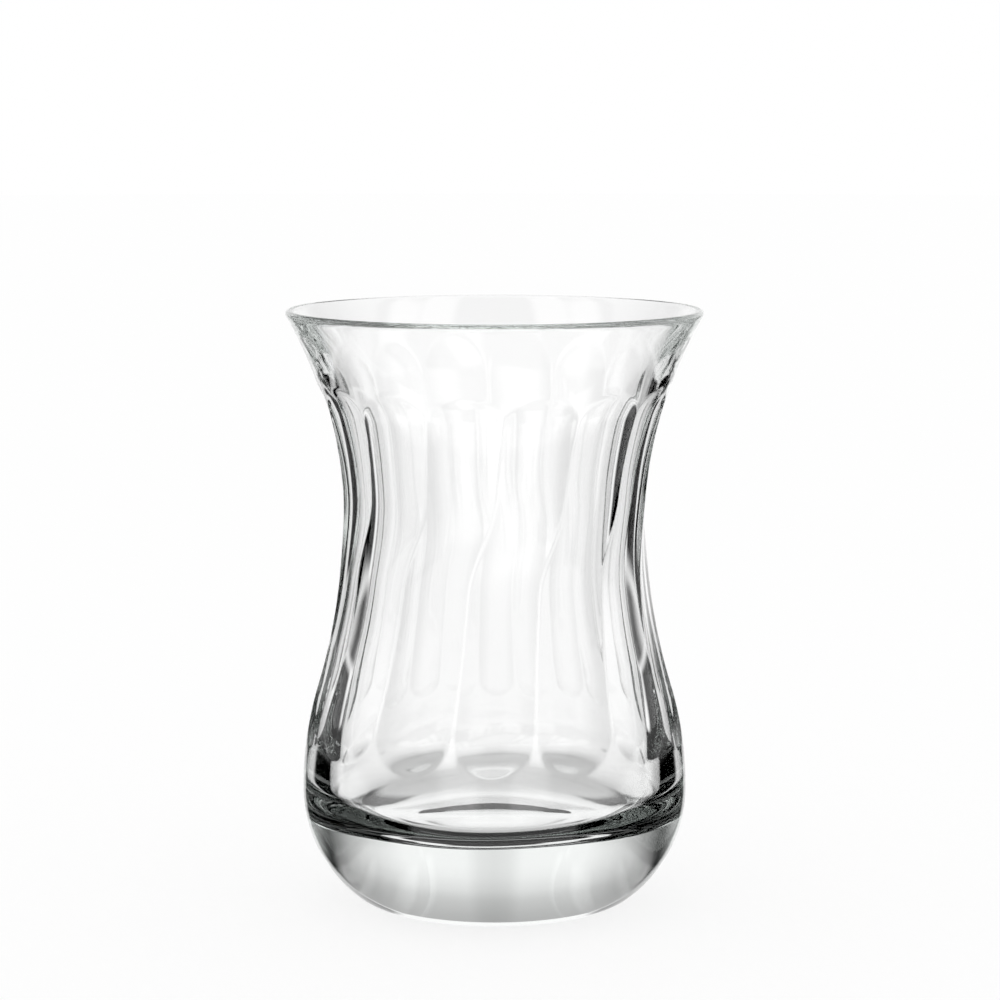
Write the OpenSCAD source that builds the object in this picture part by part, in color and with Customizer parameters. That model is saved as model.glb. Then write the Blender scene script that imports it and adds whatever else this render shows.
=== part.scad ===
// Waisted chai glass: one piece of clear glass with leaning flutes round its waist.
// Millimetres, +Z up, origin at the middle of the face that it stands on.

/* [Outside] */
// Height from the table to the top of the lip
height = 95; // [80:0.5:120]
// Outside width across the rim
rim_d = 66; // [60:0.5:76]
// Outside width across the ridges at the narrowest part of the waist
waist_d = 48.6; // [44:0.2:54]
// Height of the narrowest part of the waist
waist_z = 61.5; // [54:0.5:68]
// Outside width at the widest part of the belly
belly_d = 61.4; // [58:0.2:70]
// Height of the widest part of the belly
belly_z = 18.4; // [16:0.2:24]
// Radius of the hollow curve that runs from the waist down to the belly
shoulder_r = 92; // [70:1:110]
// Radius of the round side of the base, below the belly
base_r = 21.5; // [19:0.5:25]

/* [Foot] */
// Radius of the round edge between the base and the foot
foot_edge_r = 8; // [4:0.5:9]
// Width across the hollow under the foot
punt_d = 27; // [20:0.5:30]
// Depth of the hollow under the foot
punt_h = 1.2; // [0.6:0.1:2.5]

/* [Wall] */
// Thickness of the glass at the lip, which is rounded over
lip_t = 1.2; // [1:0.1:2.4]
// Thickness of the wall at the waist, measured to the ridges
waist_t = 3.5; // [2.4:0.1:4.5]
// Thickness of the wall at the belly
belly_t = 3.8; // [2.6:0.1:5]
// Thickness of the solid glass under the floor
floor_t = 14; // [10:0.5:16]
// Radius of the round corner between the inner wall and the floor
floor_corner_r = 6.5; // [4:0.5:9]
// Radius of the hollow curve of the inner wall, from its waist down to its belly
inner_shoulder_r = 60; // [45:1:75]

/* [Flutes] */
// Number of flutes round the waist
flute_count = 14; // [12:1:16]
// Depth of a flute at its middle, below the round wall
flute_depth = 0.65; // [0.5:0.05:0.8]
// Lean of the flutes from upright, in degrees
flute_lean = 4.5; // [2:0.5:8]
// Turn of the flutes round the glass, in degrees
flute_turn = -7.5; // [-15:0.5:15]
// Height at which the flutes start to run out at the top
flute_top_z = 79; // [76:0.5:80]
// Radius of the round in which a flute runs out at the top, seen from the side
flute_top_r = 12; // [8:0.5:16]
// Height at which the flutes start to run out at the bottom
flute_low_z = 31; // [29:0.5:34]
// Radius of the round in which a flute runs out at the bottom, seen from the side
flute_low_r = 30; // [15:1:40]

/* [Hidden] */
// The outline is made of true arcs, and this only sets how finely they are shown
$fn = 180;

// How far the shapes that cut run past the glass
overrun = 6;

// How much larger each arc of the wall is drawn, so that neighbours cross in one clean edge
seam = 0.005;

// Radius of an arc that stands upright at its start and ends after going out and up.
// It ends on a point, or touches a bead of the given radius round that point.
function arc_r(out, up, bead = 0) =
    (out * out + up * up - bead * bead) / (2 * (out + bead));

// Half width of a circle at a distance from its middle
function half_chord(r, off) = sqrt(r * r - off * off);

rim_r = rim_d / 2;
waist_r = waist_d / 2;
belly_r = belly_d / 2;
punt_r = punt_d / 2;
waist_up = waist_z - belly_z;

// Lip: a bead that both faces of the wall run into
lip_r = lip_t / 2;
lip_core_r = lip_r - 2 * seam;
lip_x = rim_r - lip_r;
lip_z = height - lip_r;
lip_up = lip_z - waist_z;

// Outer arcs: flare, shoulder, belly, base and the round edge of the foot
flare_r = arc_r(lip_x - waist_r, lip_up, lip_core_r);
flare_top_z = waist_z + lip_up * flare_r / (flare_r + lip_core_r);
outer_reach = arc_r(belly_r - waist_r, waist_up);
belly_curve_r = outer_reach - shoulder_r;
belly_split_z = belly_z + waist_up * belly_curve_r / outer_reach;
base_x = belly_r - base_r;
foot_x = base_x + half_chord(base_r - foot_edge_r, belly_z - foot_edge_r);
foot_split = base_r / (base_r - foot_edge_r);
foot_split_z = belly_z - (belly_z - foot_edge_r) * foot_split;
punt_curve_r = arc_r(punt_h, punt_r);

// Inner arcs: flare, shoulder, belly and the round corner of the floor
inner_waist_r = waist_r - waist_t;
inner_belly_r = belly_r - belly_t;
inner_belly_z = floor_t + floor_corner_r;
inner_up = waist_z - inner_belly_z;
inner_flare_r = arc_r(lip_x - inner_waist_r, lip_up, -lip_core_r);
inner_top_z = waist_z + lip_up * inner_flare_r / (inner_flare_r - lip_core_r);
inner_reach = arc_r(inner_belly_r - inner_waist_r, inner_up);
inner_curve_r = inner_reach - inner_shoulder_r;
inner_split_z = inner_belly_z + inner_up * inner_curve_r / inner_reach;

// Arcs of a flute's middle line: the same arcs as the wall's, a flute's depth further in
flute_x = waist_r - flute_depth;
flute_flare_r = flare_r + flute_depth;
flute_shoulder_r = shoulder_r + flute_depth;
flute_belly_r = belly_curve_r - flute_depth;
flute_belly_x = belly_r - belly_curve_r;

// The arc that a flute runs out on at the bottom: the shoulder, or the belly below it
flute_end_hollow = flute_low_z > belly_split_z;
flute_end_r = flute_end_hollow ? -flute_shoulder_r : flute_belly_r;
flute_end_x = flute_end_hollow ? waist_r + shoulder_r : flute_belly_x;
flute_end_z = flute_end_hollow ? waist_z : belly_z;

// Centre of a round that touches an arc at a given height. The arc's centre is at x and z,
// and its radius is below zero where the arc is hollow.
function touch(x, z, arc_r, at_z, round_r) =
    let (share = (at_z - z) / arc_r)
    [x + (arc_r + round_r) * sqrt(1 - share ^ 2), z + (arc_r + round_r) * share];

// Centres of the rounds in which a flute runs out
flute_top_mid = touch(waist_r + flare_r, waist_z, -flute_flare_r, flute_top_z, flute_top_r);
flute_low_mid = touch(flute_end_x, flute_end_z, flute_end_r, flute_low_z, flute_low_r);
flute_reach = rim_r + overrun;
flute_w = 2 * flute_reach * tan(180 / flute_count);

// A strip of the half section between two heights, from the axis out
module strip(low, top, reach) {
    polygon([[0, low], [reach, low], [reach, top], [0, top]]);
}

// A full circle in the half section
module disc(x, z, r) {
    translate([x, z]) circle(r = r);
}

// The half section inside a hollow arc that stands upright at the waist
module hollow_side(low, top, x, r) {
    strip(low, top, x);
    difference() {
        strip(low, top, x + r);
        disc(x + r, waist_z, r + seam);
    }
}

// The half section inside a round arc
module round_side(low, top, x, z, r) {
    intersection() {
        strip(low, top, x + r);
        union() {
            disc(x, z, r + seam);
            if (x > 0) strip(low, top, x);
        }
    }
}

module outer_section() {
    strip(flare_top_z, inner_top_z, lip_x);
    hollow_side(waist_z, flare_top_z, waist_r, flare_r);
    hollow_side(belly_split_z, waist_z, waist_r, shoulder_r);
    round_side(belly_z, waist_z, belly_r - belly_curve_r, belly_z, belly_curve_r);
    round_side(foot_split_z, belly_z, base_x, belly_z, base_r);
    round_side(0, foot_edge_r, foot_x, foot_edge_r, foot_edge_r + seam);
}

module inner_section() {
    hollow_side(waist_z, height + overrun, inner_waist_r, inner_flare_r);
    hollow_side(inner_split_z, waist_z, inner_waist_r, inner_shoulder_r);
    round_side(inner_belly_z, waist_z, inner_belly_r - inner_curve_r, inner_belly_z,
        inner_curve_r);
    round_side(floor_t, inner_belly_z, inner_belly_r - floor_corner_r, inner_belly_z,
        floor_corner_r);
}

// What a flute takes away, seen from the side
module flute_section() {
    difference() {
        strip(flute_low_z, flute_top_z, flute_reach);
        hollow_side(waist_z, flute_top_z, flute_x, flute_flare_r);
        hollow_side(belly_split_z, waist_z, flute_x, flute_shoulder_r);
        round_side(0, waist_z, flute_belly_x, belly_z, flute_belly_r);
    }
    disc(flute_top_mid.x, flute_top_mid.y, flute_top_r + seam);
    disc(flute_low_mid.x, flute_low_mid.y, flute_low_r + seam);
}

// One flute, flat across and leaning
module flute() {
    translate([0, 0, waist_z])
    rotate([-flute_lean, 0, 0])
    translate([0, 0, -waist_z])
    rotate([90, 0, 0])
    linear_extrude(height = flute_w, center = true)
    flute_section();
}

module tea_glass() {
    color([0.86, 0.92, 0.90, 0.45]) {
        difference() {
            rotate_extrude() outer_section();
            for (i = [0 : flute_count - 1]) {
                rotate([0, 0, flute_turn + i * 360 / flute_count]) flute();
            }
            rotate_extrude() inner_section();
            rotate_extrude() {
                intersection() {
                    disc(0, punt_h - punt_curve_r, punt_curve_r);
                    strip(-overrun, punt_h + overrun, punt_r + overrun);
                }
            }
        }
        rotate_extrude() disc(lip_x, lip_z, lip_r);
    }
}

tea_glass();
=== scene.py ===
import math
import bpy
import numpy as np
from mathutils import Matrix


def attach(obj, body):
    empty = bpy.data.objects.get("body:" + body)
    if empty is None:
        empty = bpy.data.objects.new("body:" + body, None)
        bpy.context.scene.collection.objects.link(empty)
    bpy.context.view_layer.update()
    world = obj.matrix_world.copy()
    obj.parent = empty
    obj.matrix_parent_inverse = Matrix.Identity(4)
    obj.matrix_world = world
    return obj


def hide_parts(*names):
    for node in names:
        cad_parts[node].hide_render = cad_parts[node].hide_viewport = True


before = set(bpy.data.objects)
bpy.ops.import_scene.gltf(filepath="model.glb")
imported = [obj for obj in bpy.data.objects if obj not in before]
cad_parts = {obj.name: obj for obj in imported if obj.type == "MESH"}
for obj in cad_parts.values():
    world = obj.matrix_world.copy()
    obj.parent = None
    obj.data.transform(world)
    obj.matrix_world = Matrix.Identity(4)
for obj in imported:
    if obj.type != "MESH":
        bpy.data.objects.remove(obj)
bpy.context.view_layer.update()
mm = 0.001

# outline of the glass, in millimetres
glassForm = {
    "height": 95.0,
    "rimWidth": 66.0,
    "waistWidth": 48.6,         # across the ridges
    "waistHeight": 61.5,
    "bellyWidth": 61.4,
    "bellyHeight": 18.4,
    "shoulderCurve": 92.0,      # radius of the hollow curve under the waist
    "baseCurve": 21.5,
    "footEdge": 8.0,
    "puntWidth": 27.0,
    "puntDepth": 1.2,
    "lip": 1.2,
    "waistWall": 3.5,
    "bellyWall": 3.8,
    "floor": 14.0,
    "floorCorner": 6.5,
    "innerShoulderCurve": 60.0,
    "ripple": 0.05,             # how far the inside waves in and out, as blown glass does
    "rippleTurns": (3, 5),      # its waves round the glass
    "rippleRise": (0.11, 0.07),     # how they wind upwards, in radians per millimetre
    "rippleFade": 20.0,         # distance under the lip over which they grow
    "floorRipple": 0.15,        # how far the edge of the floor waves up and down
    "floorTurns": (2, 3),
    "rippleStart": 1.0,         # radians
}

# leaning flutes, flat across, which run out softly up the flare and down the belly
fluteForm = {
    "count": 14,
    "depth": 0.65,
    "lean": 1.8,                # degrees round the glass for each 10 mm of height
    "turn": -7.5,               # degrees
    "bend": 7.0,                # how much further round each flute runs above the waist, in degrees
    "bendLow": 53.0,            # between these heights
    "bendHigh": 67.0,
    "soft": 0.03,               # how far the fire polish rounds each ridge, in millimetres
    "low": 31.0,                # height at which a flute starts to run out at the bottom
    "lowRound": 19.5,
    "top": 79.0,                # and at the top
    "topRound": 14.7,
}

# how finely the glass is drawn
meshSteps = {"perFlute": 32, "outside": 210, "inside": 90, "round": 18, "flat": 6}


def arcRadius(out, up, bead=0.0):
    # radius of an arc that starts upright and reaches a point, or a bead round it
    return (out * out + up * up - bead * bead) / (2 * (out + bead))


def arcDrop(radius, away):
    # how far a circle has fallen back from its outermost point
    return radius - np.sqrt(np.maximum(radius ** 2 - away ** 2, 0.0))


def shapeGlass(form):
    # every arc of the outline, worked out from the sizes above
    s = {"rim": form["rimWidth"] / 2, "waist": form["waistWidth"] / 2}
    s["belly"] = form["bellyWidth"] / 2
    s["bead"] = form["lip"] / 2
    s["lipX"] = s["rim"] - s["bead"]
    s["lipZ"] = form["height"] - s["bead"]
    s["waistZ"] = form["waistHeight"]
    s["bellyZ"] = form["bellyHeight"]
    lipUp = s["lipZ"] - s["waistZ"]
    s["flare"] = arcRadius(s["lipX"] - s["waist"], lipUp, s["bead"])
    s["flareTop"] = s["waistZ"] + lipUp * s["flare"] / (s["flare"] + s["bead"])
    waistUp = s["waistZ"] - s["bellyZ"]
    reach = arcRadius(s["belly"] - s["waist"], waistUp)
    s["shoulder"] = form["shoulderCurve"]
    s["curve"] = reach - s["shoulder"]
    s["curveTop"] = s["bellyZ"] + waistUp * s["curve"] / reach
    s["base"] = form["baseCurve"]
    s["edge"] = form["footEdge"]
    inward = s["base"] - s["edge"]
    drop = s["bellyZ"] - s["edge"]
    s["footX"] = s["belly"] - s["base"] + math.sqrt(inward ** 2 - drop ** 2)
    s["edgeTop"] = s["bellyZ"] - drop * s["base"] / inward
    s["punt"] = form["puntWidth"] / 2
    s["puntDepth"] = form["puntDepth"]

    s["floor"] = form["floor"]
    s["corner"] = form["floorCorner"]
    s["inWaist"] = s["waist"] - form["waistWall"]
    s["inBelly"] = s["belly"] - form["bellyWall"]
    s["inBellyZ"] = s["floor"] + s["corner"]
    s["inFlare"] = arcRadius(s["lipX"] - s["inWaist"], lipUp, -s["bead"])
    s["inTop"] = s["waistZ"] + lipUp * s["inFlare"] / (s["inFlare"] - s["bead"])
    inUp = s["waistZ"] - s["inBellyZ"]
    inReach = arcRadius(s["inBelly"] - s["inWaist"], inUp)
    s["inShoulder"] = form["innerShoulderCurve"]
    s["inCurve"] = inReach - s["inShoulder"]
    s["inCurveTop"] = s["inBellyZ"] + inUp * s["inCurve"] / inReach
    return s


def roundWall(s, z):
    # outside of the glass before it was fluted
    above = s["waist"] + arcDrop(s["flare"], z - s["waistZ"])
    under = s["waist"] + arcDrop(s["shoulder"], z - s["waistZ"])
    belly = s["belly"] - arcDrop(s["curve"], z - s["bellyZ"])
    base = s["belly"] - arcDrop(s["base"], z - s["bellyZ"])
    r = np.where(z > s["waistZ"], above, under)
    r = np.where(z > s["curveTop"], r, belly)
    return np.where(z > s["bellyZ"], r, base)


def innerWall(s, z):
    above = s["inWaist"] + arcDrop(s["inFlare"], z - s["waistZ"])
    under = s["inWaist"] + arcDrop(s["inShoulder"], z - s["waistZ"])
    belly = s["inBelly"] - arcDrop(s["inCurve"], z - s["inBellyZ"])
    r = np.where(z > s["waistZ"], above, under)
    return np.where(z > s["inCurveTop"], r, belly)


def easeStep(value, start, stop):
    t = np.clip((value - start) / (stop - start), 0.0, 1.0)
    return t * t * (3 - 2 * t)


def softPositive(value, soft):
    # the value where it is above nothing, rounded off softly
    return (value + np.sqrt(value * value + soft * soft)) / 2


def fluteDepth(flute, angle, z, s):
    # how far the fluted face lies inside the round wall
    above = np.maximum(z - flute["top"], 0.0) ** 2 / (2 * flute["topRound"])
    below = np.maximum(flute["low"] - z, 0.0) ** 2 / (2 * flute["lowRound"])
    turned = angle - math.radians(flute["turn"]) - np.radians(flute["lean"]) * (z - s["waistZ"]) / 10
    turned = turned - math.radians(flute["bend"]) * easeStep(z, flute["bendLow"], flute["bendHigh"])
    pitch = 2 * math.pi / flute["count"]
    across = turned - pitch * np.round(turned / pitch)
    hollow = flute["depth"] - above - below - roundWall(s, z) * (1 - np.cos(across))
    return softPositive(hollow, flute["soft"])


def flutedWall(s, flute, angle, z):
    return roundWall(s, z) - fluteDepth(flute, angle, z, s)


def arcSteps(centreX, centreZ, radius, start, stop, steps):
    # points round an arc between two angles, without the first one
    turns = [start + (stop - start) * (i + 1) / steps for i in range(steps)]
    return [(centreX + radius * math.cos(a), centreZ + radius * math.sin(a)) for a in turns]


def allRound(values, angle):
    return np.repeat(values[:, None], len(angle), 1)


def wavyInside(s, form, rings, angle, cornerX):
    # inside of the glass with the slight waves of a blown wall and floor
    r, z = allRound(rings[:, 0], angle), allRound(rings[:, 1], angle)
    (turnsOne, turnsTwo), (riseOne, riseTwo) = form["rippleTurns"], form["rippleRise"]
    lowTurns, highTurns = form["floorTurns"]
    wave = np.sin(turnsOne * angle + riseOne * z)
    wave = wave * np.cos(turnsTwo * angle - riseTwo * z + form["rippleStart"])
    wall = easeStep(z, s["floor"], s["inBellyZ"]) * easeStep(s["inTop"] - z, 0.0, form["rippleFade"])
    edge = (1 - easeStep(z, s["floor"], s["inBellyZ"])) * np.minimum(r / cornerX, 1.0) ** 2
    lift = np.sin(lowTurns * angle + form["rippleStart"]) * np.cos(highTurns * angle)
    return r + form["ripple"] * wave * wall, z + form["floorRipple"] * lift * edge


def glassRings(s, form, flute, angle):
    # radius and height of every ring: under the foot, up the outside, over the lip, down inside
    plainRings = []
    puntCurve = arcRadius(s["puntDepth"], s["punt"])
    steps = meshSteps["round"]
    for i in range(steps):
        r = s["punt"] * (i + 1) / steps
        plainRings.append((r, s["puntDepth"] - float(arcDrop(puntCurve, r))))
    for i in range(meshSteps["flat"]):
        plainRings.append((s["punt"] + (s["footX"] - s["punt"]) * (i + 1) / meshSteps["flat"], 0.0))
    edgeEnd = -math.acos((float(roundWall(s, np.array(s["edgeTop"]))) - s["footX"]) / s["edge"])
    plainRings += arcSteps(s["footX"], s["edge"], s["edge"], -math.pi / 2, edgeEnd, steps)
    under = np.array(plainRings)

    heights = np.linspace(s["edgeTop"], s["flareTop"], meshSteps["outside"])[1:]
    around, up = np.meshgrid(angle, heights)
    outside = flutedWall(s, flute, around, up)

    topX = float(roundWall(s, np.array(s["flareTop"])))
    start = math.atan2(s["flareTop"] - s["lipZ"], topX - s["lipX"])
    stop = math.atan2(s["inTop"] - s["lipZ"], float(innerWall(s, np.array(s["inTop"]))) - s["lipX"])
    lip = np.array(arcSteps(s["lipX"], s["lipZ"], s["bead"], start, stop, steps))

    inHeights = np.linspace(s["inTop"], s["inBellyZ"], meshSteps["inside"])[1:]
    inside = np.stack([innerWall(s, inHeights), inHeights], -1)
    cornerX = s["inBelly"] - s["corner"]
    corner = np.array(arcSteps(cornerX, s["inBellyZ"], s["corner"], 0.0, -math.pi / 2, steps))
    floor = np.array([(cornerX * (1 - (i + 1) / steps), s["floor"]) for i in range(steps - 1)])

    inner = np.vstack([inside, corner, floor])
    innerR, innerZ = wavyInside(s, form, inner, angle, cornerX)
    radius = [allRound(under[:, 0], angle), outside, allRound(lip[:, 0], angle), innerR]
    height = [allRound(under[:, 1], angle), up, allRound(lip[:, 1], angle), innerZ]
    return np.vstack(radius), np.vstack(height)


def meshFromRings(name, radius, height, angle, lowMiddle, highMiddle):
    rings, count = radius.shape
    grid = np.stack([radius * np.cos(angle), radius * np.sin(angle), height], -1)
    middles = [[0.0, 0.0, lowMiddle], [0.0, 0.0, highMiddle]]
    points = np.vstack([grid.reshape(-1, 3), middles]) * mm
    index = np.arange(rings * count).reshape(rings, count)
    beside = np.roll(index, -1, 1)
    quads = np.stack([index[:-1], beside[:-1], beside[1:], index[1:]], -1).reshape(-1, 4)
    faces = quads.tolist()
    under, floor = rings * count, rings * count + 1
    for a, b in zip(index[0].tolist(), beside[0].tolist()):
        faces.append((under, b, a))
    for a, b in zip(index[-1].tolist(), beside[-1].tolist()):
        faces.append((floor, a, b))
    mesh = bpy.data.meshes.new(name)
    mesh.from_pydata(points.tolist(), [], faces)
    mesh.polygons.foreach_set("use_smooth", [True] * len(mesh.polygons))
    mesh.update()
    piece = bpy.data.objects.new(name, mesh)
    bpy.context.scene.collection.objects.link(piece)
    return piece


def makeGlass():
    s = shapeGlass(glassForm)
    count = fluteForm["count"] * meshSteps["perFlute"]
    angle = np.arange(count) * 2 * math.pi / count
    radius, height = glassRings(s, glassForm, fluteForm, angle)
    glass = meshFromRings("chaiGlass", radius, height, angle, s["puntDepth"], s["floor"])
    glass.data.materials.append(clearGlass())
    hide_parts("tea_glass")
    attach(glass, "root")
    print("glass drawn:", len(glass.data.polygons), "faces")


# soda-lime glass with a breath of green where it is thick
glassLook = {
    "ior": 1.52,
    "tint": (0.82, 0.93, 0.87),
    "tintDensity": 3.5,         # per metre
    "waveScale": 110.0,         # waves of the fire-polished skin per metre
    "waveDepth": 0.012,         # in millimetres
    "cordScale": 45.0,          # faint upright cords in the skin, per metre
    "cordStretch": 0.08,        # how slowly they change with height
    "cordDepth": 0.01,
    "rough": 0.0,
    "handledRough": 0.012,      # where the skin has been handled
    "handledScale": 35.0,
    "handledDetail": 3.0,
    "handledFrom": (0.55, 0.75),    # noise between which the skin goes from clear to handled
}


def noiseAt(nodes, links, place, scale, detail=1.0):
    noise = nodes.new("ShaderNodeTexNoise")
    noise.inputs["Scale"].default_value = scale
    noise.inputs["Detail"].default_value = detail
    links.new(place, noise.inputs["Vector"])
    return noise.outputs["Fac"]


def spreadOver(nodes, links, source, low, high, start, stop):
    spread = nodes.new("ShaderNodeMapRange")
    spread.inputs["From Min"].default_value = low
    spread.inputs["From Max"].default_value = high
    spread.inputs["To Min"].default_value = start
    spread.inputs["To Max"].default_value = stop
    links.new(source, spread.inputs["Value"])
    return spread.outputs["Result"]


def clearGlass():
    material = bpy.data.materials.new("clearGlass")
    material.use_nodes = True
    nodes, links = material.node_tree.nodes, material.node_tree.links
    look = glassLook
    shader = nodes["Principled BSDF"]
    shader.inputs["Base Color"].default_value = (1.0, 1.0, 1.0, 1.0)
    shader.inputs["IOR"].default_value = look["ior"]
    shader.inputs["Transmission Weight"].default_value = 1.0
    place = nodes.new("ShaderNodeTexCoord").outputs["Object"]

    handled = noiseAt(nodes, links, place, look["handledScale"], look["handledDetail"])
    rough = spreadOver(nodes, links, handled, *look["handledFrom"], look["rough"], look["handledRough"])
    links.new(rough, shader.inputs["Roughness"])

    stretch = nodes.new("ShaderNodeMapping")
    stretch.inputs["Scale"].default_value = (1.0, 1.0, look["cordStretch"])
    links.new(place, stretch.inputs["Vector"])
    cords = noiseAt(nodes, links, stretch.outputs["Vector"], look["cordScale"])
    waves = noiseAt(nodes, links, place, look["waveScale"])
    skin = None
    for source, depth in ((waves, look["waveDepth"]), (cords, look["cordDepth"])):
        bump = nodes.new("ShaderNodeBump")
        bump.inputs["Strength"].default_value = 1.0
        bump.inputs["Distance"].default_value = depth * mm
        links.new(source, bump.inputs["Height"])
        if skin:
            links.new(skin, bump.inputs["Normal"])
        skin = bump.outputs["Normal"]
    links.new(skin, shader.inputs["Normal"])

    absorb = nodes.new("ShaderNodeVolumeAbsorption")
    absorb.inputs["Color"].default_value = (*look["tint"], 1.0)
    absorb.inputs["Density"].default_value = look["tintDensity"]
    links.new(absorb.outputs["Volume"], nodes["Material Output"].inputs["Volume"])
    print("clear glass mixed")
    return material


# the studio, by the turn away from the backdrop and by height, both in degrees: plain white for camera
# and matt rays, and painted reflection and painted shade for the rays that the glass bends or mirrors
studioAndPaintedReflections = {
    "level": 1.0,
    "bounces": 40,              # how often light may be bent and mirrored inside the thick glass
    # painted backdrop and table as the thick base shows them, seen only by rays the glass bends or
    # mirrors: painted light and shade at each height, and at each turn inside a band of heights
    # (middle, half width and soft edge)
    "byHeight": ((-90, 1.0), (-8, 1.0), (10, 1.0), (13, 0.95), (17, 0.8), (20, 0.62), (24, 0.5),
                 (30, 0.34), (36, 0.25), (46, 0.8), (90, 1.0)),
    "byTurn": ((0, 0.78), (3, 0.82), (6, 0.96), (20, 0.97), (30, 0.76), (40, 0.42), (46, 0.2),
               (52, 0.04), (57, 0.08), (64, 0.4), (70, 0.72), (78, 0.7), (84, 0.8), (90, 1.0),
               (110, 0.97), (120, 0.76), (130, 0.42), (138, 0.1), (146, 0.1), (154, 0.4),
               (162, 0.8), (180, 1.0)),
    "turnBand": (18.0, 15.0, 6.0),
    # the same painted light and shade for rays that come straight through both walls; its turn counts
    # from the nearest step round the room, so the glass looks alike from all sides
    "throughStep": 45.0,
    "throughHeight": ((-90, 0.5), (-52, 0.6), (-45, 0.7), (-38, 0.88), (-31, 1.0), (12, 1.0),
                      (30, 0.8), (90, 0.5)),
    "throughTurn": ((0, 1.05), (5, 1.04), (9, 0.98), (14, 0.91), (22, 0.86), (45, 0.86)),
    # painted soft boxes and black flags, seen only by the rays named with them, so they are painted
    # highlights, painted reflections and painted shade in the glass: turns, heights, soft edge, light,
    # and the rays that meet them, which are those mirrored at all or by the outer wall alone, those
    # mirrored inside the glass once or twice, three or four times or more often, and those never
    # mirrored
    "paintedPanels": (
        # painted shade: a dark room round the camera, seen only in reflections
        ((80, 190), (-8, 100), 6, 0.0, "mirrored"),     # dark room round the camera
        ((80, 130), (-25, -4), 5, 0.0, "mirrored"),
        # painted highlights: soft boxes brighter than white that only mirrored rays see
        ((148, 170), (-8, 28), 9, 1.6, "mirrored"),     # soft boxes beside the camera
        ((90, 113), (8, 60), 9, 1.6, "mirrored"),
        ((113, 142), (30, 70), 9, 1.6, "mirrored"),
        # painted shade: a dark table edge seen only in the outer wall's reflection
        ((22, 112), (-30, -3), 6, 0.0, "outer"),        # dark table edge in front
        # painted shade: black flags seen only by rays mirrored once or twice inside the glass
        ((-10, 14), (-100, -28), 6, 0.0, "once"),       # black flags round the table
        ((26, 58), (-40, 0), 6, 0.0, "once"),
        ((65, 190), (-38, 100), 6, 0.0, "once"),
        # painted shade: black all round for rays mirrored three or four times inside the glass
        ((-10, 190), (-100, 100), 4, 0.0, "thrice"),
        # painted shade: dark above the horizon for rays mirrored more than four times inside the glass
        ((-10, 190), (-1, 100), 3, 0.0, "often"),
        # painted pale table, seen only by rays mirrored more than four times inside the glass
        ((-10, 190), (-100, -4), 4, 0.95, "often"),     # pale table all round
        # painted shade: a dark patch low in front for rays never mirrored
        ((12, 33), (-44, -30), 5, 0.1, "never"),
    ),
}


def mathNode(nodes, links, operation, *values):
    node = nodes.new("ShaderNodeMath")
    node.operation = operation
    for socket, value in zip(node.inputs, values):
        if isinstance(value, (int, float)):
            socket.default_value = value
        else:
            links.new(value, socket)
    return node.outputs["Value"]


def lightRamp(nodes, links, source, points, low, high):
    # light from listed points, for an angle that runs between low and high
    ramp = nodes.new("ShaderNodeValToRGB")
    links.new(spreadOver(nodes, links, source, low, high, 0.0, 1.0), ramp.inputs["Fac"])
    stops = ramp.color_ramp.elements
    stops[0].position, stops[1].position = 0.0, 1.0
    for place, value in points[1:-1]:
        stops.new((place - low) / (high - low)).color = (value, value, value, 1.0)
    stops[0].color = (points[0][1],) * 3 + (1.0,)
    stops[len(points) - 1].color = (points[-1][1],) * 3 + (1.0,)
    return ramp.outputs["Color"]


# a white studio for camera and matt rays, and a world of painted reflection and painted shade that only
# the glass's bent and mirrored rays see
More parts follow.
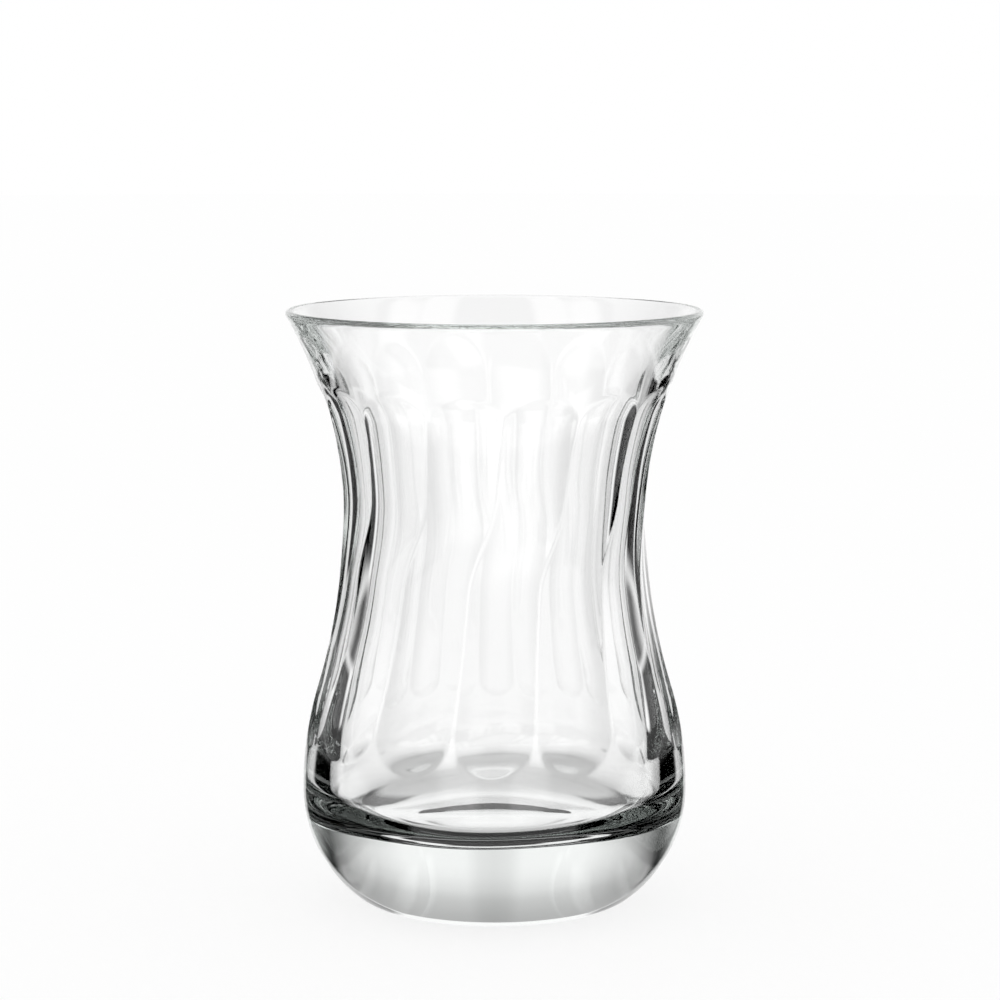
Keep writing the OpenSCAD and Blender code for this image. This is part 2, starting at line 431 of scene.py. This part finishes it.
def lightStudioWithPaintedReflections():
    world = bpy.data.worlds.new("studio")
    bpy.context.scene.world = world
    world.use_nodes = True
    nodes, links = world.node_tree.nodes, world.node_tree.links
    sky = nodes["Background"]
    place = nodes.new("ShaderNodeTexCoord")
    split = nodes.new("ShaderNodeSeparateXYZ")
    links.new(place.outputs["Generated"], split.inputs["Vector"])
    path = nodes.new("ShaderNodeLightPath")

    def calc(operation, *values):
        return mathNode(nodes, links, operation, *values)

    def blend(light, other, share):
        kept = calc("MULTIPLY", light, calc("SUBTRACT", 1.0, share))
        return calc("ADD", kept, calc("MULTIPLY", other, share))

    def within(value, middle, half, soft):
        # 1 inside a band of angles and 0 outside, with a soft edge
        away = calc("ABSOLUTE", calc("SUBTRACT", value, middle))
        edge = nodes.new("ShaderNodeMapRange")
        edge.interpolation_type = "SMOOTHSTEP"
        edge.inputs["From Min"].default_value = half - soft / 2
        edge.inputs["From Max"].default_value = half + soft / 2
        edge.inputs["To Min"].default_value = 1.0
        edge.inputs["To Max"].default_value = 0.0
        links.new(away, edge.inputs["Value"])
        return edge.outputs["Result"]

    toDegrees = 180 / math.pi
    height = calc("MULTIPLY", calc("ARCSINE", split.outputs["Z"]), toDegrees)
    turn = calc("MULTIPLY", calc("ARCTAN2", split.outputs["X"], split.outputs["Y"]), toDegrees)
    aside = calc("ABSOLUTE", turn)
    step = studioAndPaintedReflections["throughStep"]
    steps = calc("DIVIDE", aside, step)
    fromStep = calc("MULTIPLY", calc("ABSOLUTE", calc("SUBTRACT", steps, calc("ROUND", steps))), step)

    # rays by how often they were mirrored and bent: four bends are both walls of the glass
    mirrors, bends = path.outputs["Glossy Depth"], path.outputs["Transmission Depth"]
    mirrored = calc("GREATER_THAN", mirrors, 0.5)
    never = calc("SUBTRACT", 1.0, mirrored)
    inside = calc("MULTIPLY", mirrored, calc("GREATER_THAN", bends, 0.5))
    often = calc("MULTIPLY", inside, calc("GREATER_THAN", mirrors, 4.5))
    repeated = calc("MULTIPLY", inside, calc("GREATER_THAN", mirrors, 2.5))
    thrice = calc("SUBTRACT", repeated, often)
    once = calc("MULTIPLY", calc("SUBTRACT", inside, repeated), calc("LESS_THAN", bends, 3.5))
    bothWalls = calc("MULTIPLY", never, calc("GREATER_THAN", bends, 3.5))
    outer = calc("SUBTRACT", mirrored, inside)
    rays = {"mirrored": mirrored, "outer": outer, "once": once, "thrice": thrice, "often": often,
            "never": never}

    # painted light and painted shade by direction, for the rays the glass bends or mirrors
    byTurn = lightRamp(nodes, links, aside, studioAndPaintedReflections["byTurn"], 0, 180)
    light = lightRamp(nodes, links, height, studioAndPaintedReflections["byHeight"], -90, 90)
    light = blend(light, calc("MULTIPLY", light, byTurn), within(height, *studioAndPaintedReflections["turnBand"]))
    # painted light and shade for rays that come straight through both walls
    paintedThrough = calc("MULTIPLY", lightRamp(nodes, links, height, studioAndPaintedReflections["throughHeight"], -90, 90),
                    lightRamp(nodes, links, fromStep, studioAndPaintedReflections["throughTurn"], 0, step))
    light = blend(light, paintedThrough, bothWalls)
    # painted soft boxes and black flags, each seen only by its kind of ray: painted highlights,
    # reflections and shade in the glass
    for turns, heights, soft, value, kind in studioAndPaintedReflections["paintedPanels"]:
        wide = within(aside, sum(turns) / 2, (turns[1] - turns[0]) / 2, soft)
        tall = within(height, sum(heights) / 2, (heights[1] - heights[0]) / 2, soft)
        light = blend(light, value, calc("MULTIPLY", calc("MULTIPLY", wide, tall), rays[kind]))
    matt = calc("GREATER_THAN", path.outputs["Diffuse Depth"], 0.5)
    plain = calc("MAXIMUM", path.outputs["Is Camera Ray"], matt)
    links.new(blend(light, 1.0, plain), sky.inputs["Color"])
    sky.inputs["Strength"].default_value = studioAndPaintedReflections["level"]
    cycles = bpy.context.scene.cycles
    cycles.max_bounces = studioAndPaintedReflections["bounces"]
    cycles.transmission_bounces = studioAndPaintedReflections["bounces"]
    cycles.glossy_bounces = studioAndPaintedReflections["bounces"]
    print("studio lit")


# camera that stands where the photograph was taken from
cameraPlace = {
    "away": 520.0,              # millimetres in front of the glass
    "height": 132.8,
    "aside": 0.87,
    "tilt": 7.476,              # degrees down
    "lens": 118.7,
    "sensor": 36.0,
    "nearest": 10.0,            # where it starts to see
}


def placeCamera():
    data = bpy.data.cameras.new("camera")
    camera = bpy.data.objects.new("camera", data)
    bpy.context.scene.collection.objects.link(camera)
    data.sensor_width = cameraPlace["sensor"]
    data.lens = cameraPlace["lens"]
    data.clip_start = cameraPlace["nearest"] * mm
    camera.location = (cameraPlace["aside"] * mm, -cameraPlace["away"] * mm, cameraPlace["height"] * mm)
    camera.rotation_euler = (math.radians(90 - cameraPlace["tilt"]), 0, 0)
    bpy.context.scene.camera = camera
    print("camera placed")


# pale table with the soft shadow of the glass on it
tableTop = {
    "radius": 3000.0,           # in millimetres
    "steps": 64,
    "drop": 0.02,               # how far it lies under the foot
    "colour": (0.99, 0.99, 0.99),
    "glow": 0.8,                # share of its light that is its own
}


def paleTable():
    material = bpy.data.materials.new("paleTable")
    material.use_nodes = True
    nodes, links = material.node_tree.nodes, material.node_tree.links
    nodes.remove(nodes["Principled BSDF"])
    pale = nodes.new("ShaderNodeBsdfDiffuse")
    pale.inputs["Color"].default_value = (*tableTop["colour"], 1.0)
    glow = nodes.new("ShaderNodeEmission")
    surface = nodes.new("ShaderNodeMixShader")
    surface.inputs["Fac"].default_value = tableTop["glow"]
    links.new(pale.outputs["BSDF"], surface.inputs[1])
    links.new(glow.outputs["Emission"], surface.inputs[2])

    # light that the glass bends or mirrors goes on to the studio
    path = nodes.new("ShaderNodeLightPath")
    glossy, passed = path.outputs["Is Glossy Ray"], path.outputs["Is Transmission Ray"]
    bent = mathNode(nodes, links, "MAXIMUM", glossy, passed)
    clear = nodes.new("ShaderNodeBsdfTransparent")
    mixed = nodes.new("ShaderNodeMixShader")
    links.new(bent, mixed.inputs["Fac"])
    links.new(surface.outputs["Shader"], mixed.inputs[1])
    links.new(clear.outputs["BSDF"], mixed.inputs[2])
    links.new(mixed.outputs["Shader"], nodes["Material Output"].inputs["Surface"])
    return material


def makeTable():
    reach = tableTop["radius"] * mm
    turns = [2 * math.pi * i / tableTop["steps"] for i in range(tableTop["steps"])]
    edge = [(reach * math.cos(a), reach * math.sin(a), -tableTop["drop"] * mm) for a in turns]
    mesh = bpy.data.meshes.new("table")
    mesh.from_pydata(edge, [], [list(range(len(edge)))])
    mesh.materials.append(paleTable())
    table = bpy.data.objects.new("table", mesh)
    bpy.context.scene.collection.objects.link(table)
    print("table laid")


makeGlass()
makeTable()
lightStudioWithPaintedReflections()
placeCamera()
bpy.context.scene.view_settings.view_transform = "Standard"
